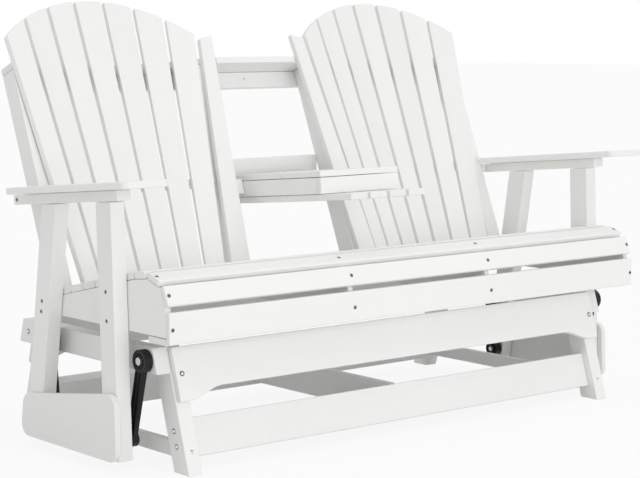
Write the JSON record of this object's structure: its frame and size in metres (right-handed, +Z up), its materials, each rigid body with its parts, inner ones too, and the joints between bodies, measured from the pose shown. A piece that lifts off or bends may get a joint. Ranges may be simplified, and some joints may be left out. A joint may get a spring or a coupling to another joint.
{
  "type": "glider loveseat",
  "caption": "Outdoor glider loveseat of white plastic lumber: a low base, swinging glide arms, slatted seat, twin fan backs and a fold-down console between them.",
  "frame": {"origin": "on the ground at the centre of the bounding box", "axes": "+X across the seat, from the left nodes to the right ones as seen by someone facing the glider; the seat faces -Y, so +Y is backwards; +Z up"},
  "size_m": [1.66, 0.7806, 1.0558],
  "materials": {
    "lumber": "satin, faint brushed grain",
    "arm_black": "black powder coat",
    "bearing_dark": "dark satin",
    "steel_bolt": "zinc plated",
    "steel_screw": "dull stainless"
  },
  "bodies": {
    "base": {"leg_front_left": "lumber", "leg_front_right": "lumber", "leg_rear_left": "lumber", "leg_rear_right": "lumber", "pivot_rail_left": "lumber", "pivot_rail_right": "lumber", "lower_rail_left": "lumber", "lower_rail_right": "lumber", "apron_front": "lumber", "apron_rear": "lumber", "stretcher_front": "lumber", "stretcher_rear": "lumber", "centre_brace": "lumber", "base_bolts": "steel_bolt", "upper_pivot_bolts": "steel_bolt"},
    "arm_front_left": {"glide_arm_front_left": "arm_black", "bearing_front_left": "bearing_dark"},
    "arm_front_right": {"glide_arm_front_right": "arm_black", "bearing_front_right": "bearing_dark"},
    "arm_rear_left": {"glide_arm_rear_left": "arm_black", "bearing_rear_left": "bearing_dark"},
    "arm_rear_right": {"glide_arm_rear_right": "arm_black", "bearing_rear_right": "bearing_dark"},
    "seat": {"seat_support_outer_left": "lumber", "seat_support_outer_right": "lumber", "seat_support_inner_left": "lumber", "seat_support_inner_right": "lumber", "seat_slats": "lumber", "front_lip_board": "lumber", "front_brow_board": "lumber", "front_lower_board": "lumber", "front_under_board": "lumber", "post_front_left": "lumber", "post_front_right": "lumber", "post_rear_left": "lumber", "post_rear_right": "lumber", "skirt_left": "lumber", "skirt_right": "lumber", "armrest_left": "lumber", "armrest_right": "lumber", "arm_cleats": "lumber", "upright_outer_left": "lumber", "upright_outer_right": "lumber", "upright_inner_left": "lumber", "upright_inner_right": "lumber", "fan_slats_left": "lumber", "fan_slats_right": "lumber", "filler_boards": "lumber", "top_support": "lumber", "top_rail": "lumber", "middle_supports": "lumber", "low_supports": "lumber", "console_stop_board": "lumber", "console_hinge_blocks": "lumber", "lower_pivot_bolts": "steel_bolt", "seat_screws": "steel_screw", "console_pivot_bolts": "steel_bolt"},
    "console": {"console_top": "lumber", "console_box": "lumber", "console_panel": "lumber"}
  },
  "joints": [
    {"name": "glide_arm_front_left", "type": "hinge", "parent": "base", "child": "arm_front_left", "pos_m": [-0.73, -0.25949, 0.2515], "axis": [1, 0, 0], "range_deg": [-14, 14]},
    {"name": "glide_arm_front_right", "type": "hinge", "parent": "base", "child": "arm_front_right", "pos_m": [0.73, -0.25949, 0.2515], "axis": [1, 0, 0], "range_deg": [-14, 14]},
    {"name": "glide_arm_rear_left", "type": "hinge", "parent": "base", "child": "arm_rear_left", "pos_m": [-0.73, 0.1365, 0.2515], "axis": [1, 0, 0], "range_deg": [-14, 14]},
    {"name": "glide_arm_rear_right", "type": "hinge", "parent": "base", "child": "arm_rear_right", "pos_m": [0.73, 0.1365, 0.2515], "axis": [1, 0, 0], "range_deg": [-14, 14]},
    {"name": "seat_swing", "type": "hinge", "parent": "arm_front_left", "child": "seat", "pos_m": [-0.73, -0.21049, 0.067], "axis": [1, 0, 0], "range_deg": [-17.2, 17.2]},
    {"name": "console_fold", "type": "hinge", "parent": "seat", "child": "console", "pos_m": [0, 0.17474, 0.57789], "axis": [-1, 0, 0], "range_deg": [0, 106.8]}
  ],
  "couplings": [
    {"joint": "glide_arm_front_right", "follows": "glide_arm_front_left", "ratio": 1},
    {"joint": "glide_arm_rear_left", "follows": "glide_arm_front_left", "ratio": 1},
    {"joint": "glide_arm_rear_right", "follows": "glide_arm_front_left", "ratio": 1},
    {"joint": "seat_swing", "follows": "glide_arm_front_left", "ratio": -1.2166}
  ]
}
